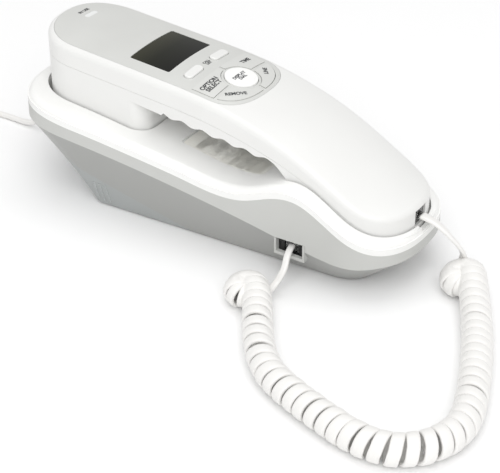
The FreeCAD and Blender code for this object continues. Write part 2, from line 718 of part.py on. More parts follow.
LINE = [V(14.0, 115.0, 40.7), V(14.0, 121.0, 40.3), V(13.6, 128.5, 36.0), V(14.2, 132.5, 27.0),
        V(13.7, 135.0, 16.0), V(14.2, 139.5, 6.5), V(13.6, 148.0, 2.0), V(14.3, 162.0, 1.75),
        V(13.4, 179.0, 1.75), V(13.6, 194.5, 1.75)]
LINE_COIL = (-14.0, 204.5, 29.0, 13.6, 14.3)    # centre x, y, outer and inner radius, height


def tube(points, diameter, name):
    """Straight runs joined by tangent arcs, each as large as its two runs allow."""
    edges, here, radii = [], points[0], []
    for before, corner, after in zip(points, points[1:], points[2:]):
        back, ahead = (before - corner), (after - corner)
        shorter = min(back.Length, ahead.Length)
        back.normalize()
        ahead.normalize()
        turn = math.pi - back.getAngle(ahead)
        reach = 0.45 * shorter
        radius = reach / math.tan(turn / 2)
        radii.append(round(radius, 1))
        start, stop = corner + back * reach, corner + ahead * reach
        bisector = back + ahead
        bisector.normalize()
        centre = corner + bisector * (radius / math.cos(turn / 2))
        mid = centre - bisector * radius
        edges.append(Part.LineSegment(here, start).toShape())
        edges.append(Part.Arc(start, mid, stop).toShape())
        here = stop
    edges.append(Part.LineSegment(here, points[-1]).toShape())
    path = Part.Wire(edges)
    direction = points[1] - points[0]
    circle = Part.Wire([Part.Circle(points[0], direction, diameter / 2).toShape()])
    solid = path.makePipeShell([circle], True, False)
    want = math.pi * diameter ** 2 / 4 * path.Length
    print("tube", name, "length", round(path.Length, 1), "volume ratio", round(solid.Volume / want, 4),
          "smallest radius", min(radii), radii, "valid", solid.isValid())
    return solid


def plug(width, tall, length, direction, at):
    """Modular plug: clear body with its latch, nose at the origin, pointing along direction."""
    body = block(-width / 2, width / 2, -length, 0, -tall / 2, tall / 2)
    shape = body.cut(block(-width / 2 + 0.8, width / 2 - 0.8, -3.0, 0.1, tall / 2 - 0.6, tall))
    turn = {"x": -90.0, "-x": 90.0, "y": 0.0, "-y": 180.0}[direction]
    shape.rotate(V(0, 0, 0), V(0, 0, 1), turn)
    shape.translate(at)
    return shape


def cords():
    y, z = SIDE_JACK
    save("handset_cord_base_plug", plug(7.7, 6.6, 11.3, "x", V(-22.2, y, z)))
    boot = Part.makeCylinder(2.0, 3.2, V(0, -109.2, NOSE_JACK_Z), V(0, 1, 0))
    save("handset_cord_handset_plug", plug(7.7, 6.6, 12.0, "y", V(0, -96.0, NOSE_JACK_Z)).fuse(boot))
    save("handset_cord_base_lead", tube(BASE_LEAD, LEAD_DIAMETER, "base lead"))
    save("handset_cord_coil", tube(COIL, COIL_DIAMETER, "coil"))
    save("handset_cord_nose_lead", tube(NOSE_LEAD, LEAD_DIAMETER, "nose lead"))
    x, z = LINE_JACK
    save("line_cord_phone_plug", plug(9.6, 6.6, 18.5, "-y", V(x, 96.5, z)))
    save("line_cord", tube(LINE, LINE_DIAMETER, "line cord"))
    cx, cy, outer, inner, tall = LINE_COIL
    ring = disc(outer, tall, cx, cy, 0.0).cut(disc(inner, tall, cx, cy, 0.0))
    save("line_cord_hank", ring)
    save("line_cord_wall_plug", plug(9.6, 6.6, 12.0, "-y", V(cx - outer + 1.6, cy - outer - 1.6, 3.3)))


# ---------------------------------------------------------------- write the parts
def main():
    save("base_lower_housing", base_lower_housing())
    save("base_upper_cover", base_upper_cover())
    save("desk_wall_bracket", desk_wall_bracket())
    save("rubber_feet", *rubber_feet())
    save("index_card", card_layer(-1.2, -0.8, 0.6))
    save("index_card_cover", card_layer(-0.8, -0.1, 0.1))
    save("hook_plunger", hook_plunger())
    save("ringer_switch", ringer_switch())
    save("wall_tab", wall_tab())
    base_inner_parts()
    back, inner = handset_shells()
    save("handset_back_shell", back)
    save("handset_inner_shell", inner)
    save("faceplate", faceplate())
    back_keys()
    pad_keys()
    handset_inner_parts()
    cords()


main()
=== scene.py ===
"""Slimline corded telephone: materials, cords, lettering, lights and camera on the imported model.

Metres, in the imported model's frame. +Z is up, +Y runs towards the earpiece end, the desk is z = 0.
"""

import json
import math

import bpy
from mathutils import Matrix, Vector
from mathutils.bvhtree import BVHTree

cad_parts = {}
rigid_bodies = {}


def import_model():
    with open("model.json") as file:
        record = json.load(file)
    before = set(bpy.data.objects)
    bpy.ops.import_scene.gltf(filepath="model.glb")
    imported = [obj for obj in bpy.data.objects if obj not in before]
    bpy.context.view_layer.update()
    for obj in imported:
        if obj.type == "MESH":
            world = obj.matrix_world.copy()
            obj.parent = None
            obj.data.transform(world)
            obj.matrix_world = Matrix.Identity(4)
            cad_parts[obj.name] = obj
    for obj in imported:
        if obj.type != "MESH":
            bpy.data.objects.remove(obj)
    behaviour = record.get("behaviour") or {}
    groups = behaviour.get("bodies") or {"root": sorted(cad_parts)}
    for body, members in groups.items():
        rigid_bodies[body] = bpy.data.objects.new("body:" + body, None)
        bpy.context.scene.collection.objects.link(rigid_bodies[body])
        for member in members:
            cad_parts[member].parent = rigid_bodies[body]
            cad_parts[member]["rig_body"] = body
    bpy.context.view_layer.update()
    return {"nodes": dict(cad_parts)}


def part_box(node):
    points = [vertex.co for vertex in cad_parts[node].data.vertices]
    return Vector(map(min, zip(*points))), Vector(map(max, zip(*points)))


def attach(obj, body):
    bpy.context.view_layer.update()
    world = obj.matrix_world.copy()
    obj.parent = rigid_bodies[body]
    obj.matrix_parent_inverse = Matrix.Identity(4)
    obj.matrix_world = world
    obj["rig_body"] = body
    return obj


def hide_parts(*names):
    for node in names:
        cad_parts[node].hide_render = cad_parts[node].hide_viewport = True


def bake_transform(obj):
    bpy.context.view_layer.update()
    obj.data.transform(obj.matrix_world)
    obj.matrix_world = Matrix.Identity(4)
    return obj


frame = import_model()
NODES = frame["nodes"]
MM = 0.001

# ---------------------------------------------------------------- driving values
CAMERA_HEADING = math.radians(34.22)      # from the -X axis towards -Y
CAMERA_HEIGHT = math.radians(30.04)
CAMERA_ROLL = math.radians(-0.851)
CAMERA_DISTANCE = 0.7767
CAMERA_TARGET = Vector((0.0, 0.0, 0.040))
CAMERA_LENS = 110.28
CAMERA_SHIFT = (0.0407, -0.1817)

CORD_WIDTH = 5.7 * MM                     # flat handset cord
CORD_THICKNESS = 2.2 * MM
CORD_SQUARENESS = 0.6                     # 1 is an oval section, smaller is squarer
LEAD_WIDTH = (0.56, 0.90)                 # share of the cord's width in the straight ends, base end first
LEAD_LEAN = (0.5, -0.8)                   # extra turn of the flat leads, base end and handset end
COIL_DIAMETER = 14.6 * MM
COIL_PITCH = 6.3 * MM
HOOK_REACH = 26.0 * MM                    # the turns crowd together in the hooks at both ends
HOOK_PITCH = 0.38
SNAIL_TURNS = 2.5                         # the last turns at each end close up
SNAIL_RADIUS = 0.72
COIL_UNEVEN = ((1, 0.06, 0.0), (6, 0.05, 1.0), (13, 0.06, 2.3), (23, 0.05, 0.4))    # count, size, phase
COIL_GAPS = ((0.047, 0.20), (0.066, 0.16), (0.205, 0.22))    # place along the coil in metres, extra pitch
GAP_REACH = 4.0 * MM                      # how far a wider gap spreads along the coil
COIL_STEP = 0.2 * MM                      # spacing of the points along the coil's axis
COIL_LOOSE = (0.985, 0.015, 9.7)          # mean share of the radius, its swing, swings in each turn
LEAD_STEP = 0.8 * MM
LEAD_JOIN = 9.0 * MM                      # last part of a lead, bent to meet the coil
WIDTH_BLEND = 40                          # points over which a lead widens to the full cord
CORD_SIDES = 14
LINE_DIAMETER = 3.2 * MM
LABEL_LIFT = 0.05 * MM

# routes, points given in millimetres
BASE_LEAD = [(-33.5, -58.4, 19.4), (-40.2, -59.6, 18.8), (-45.4, -61.5, 13.6), (-50.2, -59.2, 6.4),
             (-55.4, -56.8, 3.0), (-61.0, -56.4, 2.6), (-65.6, -54.6, 3.0)]
COIL = [(-66.0, -54.2, 7.7), (-67.4, -50.9, 7.7), (-65.1, -47.4, 7.7), (-60.8, -47.2, 7.6),
        (-58.4, -50.9, 8.4), (-61.2, -55.2, 9.0), (-70.4, -62.2, 8.0), (-83.0, -70.4, 7.7),
        (-97.5, -80.5, 7.7), (-110.0, -94.0, 7.7), (-116.5, -110.5, 7.7), (-121.9, -128.5, 7.7),
        (-126.3, -146.5, 7.7), (-125.0, -163.0, 7.7), (-113.5, -175.5, 7.7), (-96.5, -180.5, 7.7),
        (-78.5, -176.0, 7.7), (-60.5, -169.0, 7.7), (-42.0, -161.0, 7.7), (-23.5, -151.5, 7.6),
        (-7.5, -142.2, 8.6), (1.9, -136.8, 10.4), (4.3, -133.4, 9.8), (2.4, -129.4, 8.6),
        (-1.9, -128.6, 7.6), (-4.6, -132.1, 7.7), (-3.4, -135.6, 7.7)]
NOSE_LEAD = [(0.0, -109.5, 35.8), (-0.3, -116.5, 35.3), (0.8, -123.0, 30.0), (4.2, -127.8, 22.6),
             (8.2, -129.2, 15.6), (10.2, -127.0, 9.4), (8.4, -125.6, 4.4), (3.2, -128.3, 2.9),
             (-1.6, -134.3, 3.0)]
LINE = [(14.0, 115.0, 40.7), (14.0, 121.0, 40.3), (13.6, 128.5, 36.0), (14.2, 132.5, 27.0),
        (13.7, 135.0, 16.0), (14.2, 139.5, 6.5), (13.6, 148.0, 2.0), (14.3, 162.0, 1.75),
        (13.4, 179.0, 1.75), (13.6, 194.5, 1.75)]
HANK_CENTRE = (-14.0, 204.5)
HANK_LAYERS = 4
HANK_TURNS = 14.5
HANK_RADIUS = 27.3                        # centreline of the outermost turn
HANK_STEP = 3.25
HANK_FLOOR = 2.3
HANK_POINTS = 16                          # points in each turn
HANK_CLIMB = 0.3                          # share of a layer's first turn spent climbing to it
TIE_THICKNESS = 0.5
TIE_WIDTH = 6.0
TIE_GAP = 0.1
TIE_SQUARENESS = 0.35

# labels in millimetres: name, text, x, y, size, node, turn in degrees
PLATE_TEXT = (
    ("text_list", "CALL\nLIST", 0.9, 13.1, 2.1, "faceplate", 0),
    ("text_in_use", "IN USE", 5.0, 94.3, 2.6, "faceplate", 0),
    ("text_option", "OPTION\nSELECT", -14.8, 0.1, 3.5, "key_sector_rear_left", 0),
    ("text_remove", "REMOVE", -13.3, -13.2, 2.9, "key_sector_front_left", -42),
    ("text_time", "TIME", 15.6, 0.3, 3.3, "key_sector_rear_right", 0),
    ("text_line", "LINE", 14.6, -12.4, 3.0, "key_sector_front_right", 42),
    ("text_round", "DISPLAY\nDIAL", 0.0, -7.4, 2.6, "key_round", 0),
)
PLATE_TEXT_WEIGHT = 0.035
DIAL_TEXT = {"1": ("1", ""), "2": ("2", "ABC"), "3": ("3", "DEF"), "4": ("4", "GHI"), "5": ("5", "JKL"),
             "6": ("6", "MNO"), "7": ("7", "PQRS"), "8": ("8", "TUV"), "9": ("9", "WXYZ"), "star": ("*", ""),
             "0": ("0", "OPER"), "hash": ("#", "")}
FUNCTION_TEXT = {"key_flash": "FLASH", "key_volume": "VOL", "key_redial": "REDIAL"}
DIGIT_SIZE = 4.2
DIGIT_SHIFT = 2.0
LETTERS_SIZE = 1.5
LETTERS_SHIFT = -1.8
FUNCTION_SIZE = 1.7

# studio: place, target, size and power of each lamp
WORLD_STRENGTH = 0.62
KEY_LIGHT = ((-1.15, -0.75, 1.35), (0, 0, 0.03), 1.7, 18.0)
TOP_LIGHT = ((0.1, 0.0, 1.8), (0, 0, 0.03), 1.6, 8.0)
FLOOR_HALF = 6.0


# ---------------------------------------------------------------- materials
def material(name, colour, roughness, metallic=0.0, grain=0.0, grain_scale=900.0, mottle=0.0, coat=0.0,
             spread=0.06, painted_underside_shade=1.0):
    """Moulded plastic, paint, metal or rubber: a main colour with fine grain, mottling and sheen changes.

    Where a surface leans towards the floor its colour is multiplied by the given factor: painted shade on
    the underside.
    """
    made = bpy.data.materials.new(name)
    made.use_nodes = True
    nodes, links = made.node_tree.nodes, made.node_tree.links
    shader = nodes["Principled BSDF"]
    shader.inputs["Metallic"].default_value = metallic
    shader.inputs["Coat Weight"].default_value = coat
    shader.inputs["Coat Roughness"].default_value = 0.12
    where = nodes.new("ShaderNodeTexCoord")
    cloud = nodes.new("ShaderNodeTexNoise")
    cloud.inputs["Scale"].default_value = 38.0
    cloud.inputs["Detail"].default_value = 3.0
    links.new(where.outputs["Object"], cloud.inputs["Vector"])
    tint = nodes.new("ShaderNodeValToRGB")
    dark = [c * (1.0 - mottle) for c in colour]
    tint.color_ramp.elements[0].position = 0.35
    tint.color_ramp.elements[0].color = (*dark, 1.0)
    tint.color_ramp.elements[1].position = 0.65
    tint.color_ramp.elements[1].color = (*colour, 1.0)
    links.new(cloud.outputs["Fac"], tint.inputs["Fac"])
    links.new(tint.outputs["Color"], shader.inputs["Base Color"])
    if painted_underside_shade != 1.0:
        # painted shade: the colour is darkened on faces that point towards the floor
        facing = nodes.new("ShaderNodeNewGeometry")
        split = nodes.new("ShaderNodeSeparateXYZ")
        links.new(facing.outputs["Normal"], split.inputs["Vector"])
        amount = nodes.new("ShaderNodeMapRange")
        amount.inputs["From Min"].default_value = -0.25
        amount.inputs["From Max"].default_value = -0.05
        amount.inputs["To Min"].default_value = painted_underside_shade
        amount.inputs["To Max"].default_value = 1.0
        links.new(split.outputs["Z"], amount.inputs["Value"])
        shade = nodes.new("ShaderNodeVectorMath")
        shade.operation = "SCALE"
        links.new(tint.outputs["Color"], shade.inputs[0])
        links.new(amount.outputs["Result"], shade.inputs["Scale"])
        links.new(shade.outputs["Vector"], shader.inputs["Base Color"])
    sheen = nodes.new("ShaderNodeMapRange")
    sheen.inputs["To Min"].default_value = roughness - spread
    sheen.inputs["To Max"].default_value = roughness + spread
    links.new(cloud.outputs["Fac"], sheen.inputs["Value"])
    links.new(sheen.outputs["Result"], shader.inputs["Roughness"])
    if grain:
        fine = nodes.new("ShaderNodeTexNoise")
        fine.inputs["Scale"].default_value = grain_scale
        fine.inputs["Detail"].default_value = 2.0
        links.new(where.outputs["Object"], fine.inputs["Vector"])
        bump = nodes.new("ShaderNodeBump")
        bump.inputs["Strength"].default_value = grain
        bump.inputs["Distance"].default_value = 0.1 * MM
        links.new(fine.outputs["Fac"], bump.inputs["Height"])
        links.new(bump.outputs["Normal"], shader.inputs["Normal"])
    return made


def see_through(name, colour, roughness, ior=1.49):
    made = material(name, colour, roughness, spread=0.02)
    shader = made.node_tree.nodes["Principled BSDF"]
    shader.inputs["Transmission Weight"].default_value = 1.0
    shader.inputs["IOR"].default_value = ior
    return made


def clear_film(name, alpha, roughness):
    """Thin clear cover, nearly invisible but for its gloss."""
    made = material(name, (0.97, 0.98, 0.98), roughness, spread=0.02)
    made.node_tree.nodes["Principled BSDF"].inputs["Alpha"].default_value = alpha
    return made


def display_glass(name):
    """Dark olive window, lighter towards the edge next to the earpiece."""
    made = material(name, (0.012, 0.013, 0.009), 0.08, spread=0.02)
    nodes, links = made.node_tree.nodes, made.node_tree.links
    shader = nodes["Principled BSDF"]
    where = nodes.new("ShaderNodeTexCoord")
    split = nodes.new("ShaderNodeSeparateXYZ")
    links.new(where.outputs["Object"], split.inputs["Vector"])
    shader.inputs["Specular IOR Level"].default_value = 0.2
    low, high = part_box("display_lens")
    ramp_y = nodes.new("ShaderNodeMapRange")
    ramp_y.inputs["From Min"].default_value = low[1]
    ramp_y.inputs["From Max"].default_value = high[1]
    links.new(split.outputs["Y"], ramp_y.inputs["Value"])
    ramp = nodes.new("ShaderNodeValToRGB")
    stops = ((0.0, (0.006, 0.006, 0.005)), (0.55, (0.011, 0.012, 0.007)), (0.92, (0.030, 0.030, 0.018)))
    while len(ramp.color_ramp.elements) < len(stops):
        ramp.color_ramp.elements.new(0.5)
    for element, (place, colour) in zip(ramp.color_ramp.elements, stops):
        element.position = place
        element.color = (*colour, 1.0)
    links.new(ramp_y.outputs["Result"], ramp.inputs["Fac"])
    links.new(ramp.outputs["Color"], shader.inputs["Base Color"])
    return made


WHITE = material("white_plastic", (0.80, 0.80, 0.785), 0.34, grain=0.05, mottle=0.012)
# cover: the handset's white plastic made lighter, painted light that lifts the deck shaded by the handset
COVER_PAINTED_LIGHT = material("cover_white_painted_light", (0.88, 0.88, 0.865), 0.34, grain=0.05, mottle=0.012)
# housing and bracket: grey plastic with painted shade, darker on faces that point towards the floor
HOUSING = material("grey_plastic_painted_shade", (0.555, 0.56, 0.54), 0.36, grain=0.10, mottle=0.02, painted_underside_shade=0.64)
BRACKET = material("bracket_plastic_painted_shade", (0.575, 0.60, 0.595), 0.45, grain=0.12, mottle=0.02, painted_underside_shade=0.64)
SILVER = material("silver_paint", (0.74, 0.745, 0.72), 0.34, metallic=0.35, grain=0.05, grain_scale=2600.0,
                  mottle=0.03)
SILVER_KEY = material("silver_key_paint", (0.755, 0.76, 0.735), 0.32, metallic=0.3, grain=0.05,
                      grain_scale=2600.0, mottle=0.03)
LIST_KEY = material("list_key", (0.80, 0.80, 0.785), 0.26, grain=0.03, mottle=0.01)
WHITE_KEY = material("white_key", (0.90, 0.90, 0.885), 0.28, grain=0.03, mottle=0.01)
RUBBER_KEY = material("grey_silicone", (0.42, 0.43, 0.44), 0.6, grain=0.12, mottle=0.03)
BLACK = material("black_plastic", (0.012, 0.012, 0.012), 0.4, grain=0.08, mottle=0.1)
RUBBER = material("black_rubber", (0.015, 0.015, 0.015), 0.75, grain=0.2, mottle=0.15)
CORD = material("cord_vinyl", (0.85, 0.84, 0.82), 0.38, grain=0.06, grain_scale=1500.0, mottle=0.015)
STEEL = material("zinc_steel", (0.55, 0.56, 0.58), 0.32, metallic=1.0, grain=0.1, mottle=0.12)
BOARD = material("board_green", (0.02, 0.11, 0.05), 0.45, grain=0.2, mottle=0.2)
INK = material("grey_ink", (0.03, 0.032, 0.035), 0.5, mottle=0.05)
CARD = material("card_stock", (0.97, 0.96, 0.90), 0.7, grain=0.1, mottle=0.02)
LAMP = material("milky_lamp", (0.80, 0.81, 0.80), 0.3, mottle=0.03)
LENS = display_glass("display_window")
CLEAR = clear_film("clear_acrylic", 0.08, 0.22)
PLUG = see_through("clear_plug", (0.93, 0.94, 0.93), 0.12, ior=1.58)
TIE = material("tie_strap", (0.03, 0.03, 0.032), 0.55, grain=0.15, mottle=0.1)

FINISHES = {
    "base_upper_cover": COVER_PAINTED_LIGHT, "handset_back_shell": WHITE, "handset_inner_shell": WHITE,
    "hook_plunger": WHITE, "wall_tab": WHITE, "base_lower_housing": HOUSING,
    "desk_wall_bracket": BRACKET, "rubber_feet": RUBBER, "base_screws": STEEL,
    "handset_screws": STEEL, "ballast_plate": STEEL, "base_circuit_board": BOARD,
    "handset_circuit_board": BOARD, "index_card": CARD, "index_card_cover": CLEAR,
    "faceplate": SILVER, "key_round": WHITE_KEY, "key_list_left": LIST_KEY,
    "key_list_right": LIST_KEY, "display_lens": LENS, "display_module": BLACK,
    "call_lamp_lens": LAMP, "receiver_gasket": RUBBER, "keypad_mat": RUBBER_KEY,
}


def finish_of(node):
    if node in FINISHES:
        return FINISHES[node]
    if node.startswith("key_sector"):
        return SILVER_KEY
    if node.startswith("key_"):
        return RUBBER_KEY
    if "plug" in node:
        return PLUG
    if "cord" in node:
        return CORD
    return BLACK


def paint_nodes():
    for name, piece in NODES.items():
        piece.data.materials.clear()
        piece.data.materials.append(finish_of(name))


# ---------------------------------------------------------------- mesh tools
def new_mesh(name, vertices, faces, finish, body=None, smooth=True):
    mesh = bpy.data.meshes.new(name)
    mesh.from_pydata([tuple(v) for v in vertices], [], faces)
    mesh.materials.append(finish)
    for face in mesh.polygons:
        face.use_smooth = smooth
    piece = bpy.data.objects.new(name, mesh)
    bpy.context.scene.collection.objects.link(piece)
    if body:
        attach(piece, body)
    return piece


def nurbs(points, name="route"):
    """Smooth curve object whose control points are the given points in millimetres."""
    curve = bpy.data.curves.new(name, "CURVE")
    curve.dimensions = "3D"
    curve.resolution_u = 12
    spline = curve.splines.new("NURBS")
    spline.points.add(len(points) - 1)
    for target, point in zip(spline.points, points):
        target.co = (*(c * MM for c in point), 1.0)
    spline.order_u = 3
    spline.use_endpoint_u = True
    piece = bpy.data.objects.new(name, curve)
    bpy.context.scene.collection.objects.link(piece)
    return piece


def read_line(points):
    """Points along the smooth curve through the route, in metres."""
    piece = nurbs(points)
    mesh = bpy.data.meshes.new_from_object(piece)
    line = [v.co.copy() for v in mesh.vertices]
    curve = piece.data
    bpy.data.objects.remove(piece)
    bpy.data.curves.remove(curve)
    bpy.data.meshes.remove(mesh)
    return line


def resample(line, step):
    """The same line with points evenly spaced, about one step apart."""
    lengths = [0.0]
    for a, b in zip(line, line[1:]):
        lengths.append(lengths[-1] + (b - a).length)
    count = max(2, round(lengths[-1] / step) + 1)
    points, j = [], 0
    for i in range(count):
        want = lengths[-1] * i / (count - 1)
        while j < len(line) - 2 and lengths[j + 1] < want:
            j += 1
        part = (want - lengths[j]) / max(lengths[j + 1] - lengths[j], 1e-9)
        points.append(line[j].lerp(line[j + 1], min(part, 1.0)))
    return points


def length_of(line):
    return sum((b - a).length for a, b in zip(line, line[1:]))


def tangents(line):
    last = len(line) - 1
    return [(line[min(i + 1, last)] - line[max(i - 1, 0)]).normalized() for i in range(last + 1)]


# ---------------------------------------------------------------- curly handset cord
def flat_section(width, thickness, count=CORD_SIDES):
    """Outline of the flat cord: (across, through) pairs on a rounded flat shape."""
    points = []
    for i in range(count):
        angle = 2 * math.pi * i / count
        c, s = math.cos(angle), math.sin(angle)
        across = math.copysign(abs(c) ** CORD_SQUARENESS, c) * width / 2
        through = math.copysign(abs(s) ** CORD_SQUARENESS, s) * thickness / 2
        points.append((across, through))
    return points


def turned(across, tangent):
    """Across direction kept square to the tangent."""
    return (across - tangent * across.dot(tangent)).normalized()


def lead_frames(lead, start_across, end_across, lean):
    """Across directions along a lead, turning evenly from its plug to the coil."""
    along = tangents(lead)
    frames = [turned(start_across, along[0])]
    for tangent in along[1:]:
        frames.append(turned(frames[-1], tangent))
    last = frames[-1]
    goal = turned(end_across, along[-1])
    if last.dot(goal) < 0:
        goal = -goal
    twist = math.atan2(along[-1].dot(last.cross(goal)), last.dot(goal))
    count = len(frames) - 1
    turned_frames = []
    for i, (frame_across, tangent) in enumerate(zip(frames, along)):
        part = i / count
        turn = twist * part + lean * math.sin(math.pi * part)
        turned_frames.append(Matrix.Rotation(turn, 3, tangent) @ frame_across)
    return turned_frames


def eased(part):
    part = min(max(part, 0.0), 1.0)
    return part * part * (3.0 - 2.0 * part)


def local_pitch(here, total):
    """Distance between turns at a place along the coil."""
    part = here / total
    wave = 1.0 + sum(size * math.sin(2 * math.pi * count * part + phase)
                     for count, size, phase in COIL_UNEVEN)
    wave += sum(size * math.exp(-((here - place) / GAP_REACH) ** 2) for place, size in COIL_GAPS)
    hook = eased(min(here, total - here) / HOOK_REACH - 0.35)
    return COIL_PITCH * wave * (HOOK_PITCH + (1.0 - HOOK_PITCH) * hook)


def coil_points(first, last):
    """Helix centreline and its across directions; it starts next to first and ends next to last."""
    axis = resample(read_line(COIL), COIL_STEP)
    along = tangents(axis)
    radius = (COIL_DIAMETER - CORD_THICKNESS) / 2
    up = Vector((0.0, 0.0, 1.0))

    def angle_at(i, point):
        side = along[i].cross(up).normalized()
        away = point - axis[i]
        return math.atan2(away.dot(up), away.dot(side))

    step, total = (axis[1] - axis[0]).length, length_of(axis)
    turned_by = [0.0]
    for i in range(1, len(axis)):
        turned_by.append(turned_by[-1] + 2 * math.pi * step / local_pitch(i * step, total))
    start, stop = angle_at(0, first), angle_at(len(axis) - 1, last)
    whole = round((turned_by[-1] - (stop - start)) / (2 * math.pi))
    scale = (2 * math.pi * whole + stop - start) / turned_by[-1]
    print("coil axis", round(total / MM), "mm,", whole, "turns")
    mean, swing, often = COIL_LOOSE
    points = []
    for centre, tangent, angle in zip(axis, along, turned_by):
        side = tangent.cross(up).normalized()
        lift = side.cross(tangent)
        loose = radius * (mean + swing * math.sin(often * angle / (2 * math.pi)))
        turns_to_end = min(angle, turned_by[-1] - angle) / (2 * math.pi)
        loose *= SNAIL_RADIUS + (1.0 - SNAIL_RADIUS) * eased(turns_to_end / SNAIL_TURNS)
        angle = start + angle * scale
        points.append(centre + side * (loose * math.cos(angle)) + lift * (loose * math.sin(angle)))
    return points, along


def handset_cord():
    lead_in = resample(read_line(BASE_LEAD), LEAD_STEP)
    lead_out = resample(read_line(list(reversed(NOSE_LEAD))), LEAD_STEP)
    coil, coil_across = coil_points(lead_in[-1], lead_out[0])
    lead_in = join_to(lead_in, coil[0], coil[1] - coil[0])
    lead_out = list(reversed(join_to(list(reversed(lead_out)), coil[-1], coil[-2] - coil[-1])))
    frames_in = lead_frames(lead_in, Vector((0, 1, 0)), coil_across[0], LEAD_LEAN[0])
    frames_out = list(reversed(lead_frames(list(reversed(lead_out)), Vector((1, 0, 0)), coil_across[-1],
                                           LEAD_LEAN[1])))
    path = lead_in[:-1] + coil + lead_out[1:]
    across = frames_in[:-1] + coil_across + frames_out[1:]
    section = flat_section(CORD_WIDTH, CORD_THICKNESS)
    vertices, faces, count = [], [], len(section)
    first, last = len(lead_in), len(path) - len(lead_out)
    for i, (point, tangent, wide) in enumerate(zip(path, tangents(path), across)):
        wide = turned(wide, tangent)
        deep = tangent.cross(wide)
        end_width = LEAD_WIDTH[0] if i - first < last - i else LEAD_WIDTH[1]
        full = end_width + (1.0 - end_width) * eased(min(i - first, last - i) / WIDTH_BLEND)
        vertices += [point + wide * (a * full) + deep * b for a, b in section]
    for i in range(len(path) - 1):
        for j in range(count):
            k = (j + 1) % count
            faces.append((i * count + j, i * count + k, (i + 1) * count + k, (i + 1) * count + j))
    faces.append(tuple(reversed(range(count))))
    faces.append(tuple(range(len(vertices) - count, len(vertices))))
    piece = new_mesh("handset_cord", vertices, faces, CORD)
    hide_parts("handset_cord_base_lead", "handset_cord_coil", "handset_cord_nose_lead")
    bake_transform(piece)
    print("handset cord", round(length_of(path), 3), "m")


def join_to(lead, end, direction):
    """The lead with its last part bent so that it arrives at end along direction."""
    kept = list(lead)
    while len(kept) > 3 and (kept[-1] - end).length < LEAD_JOIN:
        kept.pop()
    start, heading = kept[-1], (kept[-1] - kept[-2]).normalized()
    direction = direction.normalized()
    span = (end - start).length
    steps = max(4, round(span / (0.5 * MM)))
    a, b = start + heading * span * 0.4, end - direction * span * 0.4
    for i in range(1, steps + 1):
        t = i / steps
        s = 1.0 - t
        kept.append(start * s ** 3 + a * 3 * s * s * t + b * 3 * s * t * t + end * t ** 3)
    return kept


# ---------------------------------------------------------------- line cord
def hank_points():
    """Layered coil: in, up and out again, layer by layer."""
    points = []
    per_layer = HANK_TURNS / HANK_LAYERS
    for i in range(1, int(HANK_TURNS * HANK_POINTS) + 1):
        turns = i / HANK_POINTS
        layer = min(int(turns / per_layer), HANK_LAYERS - 1)
        part = turns - layer * per_layer
        inward = part if layer % 2 == 0 else per_layer - part
        climb = min(part / HANK_CLIMB, 1.0)
        if layer == 0:
            z = HANK_FLOOR - 0.55 * (1.0 - climb)
        else:
            z = HANK_FLOOR + HANK_STEP * (layer - 1 + climb)
        radius = HANK_RADIUS - HANK_STEP * inward
        angle = 2 * math.pi * turns
        points.append((HANK_CENTRE[0] + radius * math.cos(angle),
                       HANK_CENTRE[1] + radius * math.sin(angle), z))
    return points


def line_cord():
    low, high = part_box("line_cord_wall_plug")
    tail = ((low[0] + high[0]) / 2 / MM, high[1] / MM, (low[2] + high[2]) / 2 / MM)
    top = HANK_FLOOR + HANK_STEP * (HANK_LAYERS - 1)
    route = LINE + hank_points()
    route += [(tail[0] - 0.2, tail[1] + 12.0, top - 1.2), (tail[0], tail[1] + 6.0, tail[2] + 2.0), tail]
    piece = nurbs(route, "line_cord_run")
    piece.data.bevel_depth = LINE_DIAMETER / 2
    piece.data.bevel_resolution = 4
    piece.data.use_fill_caps = True
    piece.data.materials.append(CORD)
    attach(piece, "base")
    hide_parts("line_cord", "line_cord_hank")
    tie = hank_tie()
    length = length_of(read_line(route))
    print("line cord", round(length, 3), "m")


def hank_tie():
    """Strap round the coil's section, on the side towards the telephone."""
    outer = HANK_RADIUS + LINE_DIAMETER / MM / 2 + 0.15
    inner = HANK_RADIUS - HANK_STEP * HANK_TURNS / HANK_LAYERS - LINE_DIAMETER / MM / 2 - 0.15
    bottom = HANK_FLOOR - LINE_DIAMETER / MM / 2 - TIE_GAP
    top = HANK_FLOOR + HANK_STEP * (HANK_LAYERS - 1) + LINE_DIAMETER / MM / 2 + TIE_GAP
    half = (outer - inner) / 2
    middle_r, middle_z, tall = (outer + inner) / 2, (bottom + top) / 2, (top - bottom) / 2
    loop, count = [], 40
    for i in range(count):
        angle = 2 * math.pi * i / count
        c, s = math.cos(angle), math.sin(angle)
        loop.append((math.copysign(abs(c) ** TIE_SQUARENESS, c), math.copysign(abs(s) ** TIE_SQUARENESS, s)))
    vertices, faces = [], []
    for grow in (0.0, TIE_THICKNESS):
        for end in (-TIE_WIDTH / 2, TIE_WIDTH / 2):
            for a, b in loop:
                r = middle_r + a * (half + grow)
                z = middle_z + b * (tall + grow)
                vertices.append(Vector((HANK_CENTRE[0] + end, HANK_CENTRE[1] - r, z)) * MM)
    for i in range(count):
        k = (i + 1) % count
        a, b, c, d = 0, count, 2 * count, 3 * count
        faces += [(a + i, b + i, b + k, a + k), (c + i, c + k, d + k, d + i),
                  (a + i, a + k, c + k, c + i), (b + i, d + i, d + k, b + k)]
    tie = new_mesh("line_cord_tie", vertices, faces, TIE, "base")
    return tie


# ---------------------------------------------------------------- lettering
def surface(node):
    piece = NODES[node]
    return BVHTree.FromPolygons([v.co for v in piece.data.vertices],
                                [p.vertices for p in piece.data.polygons])


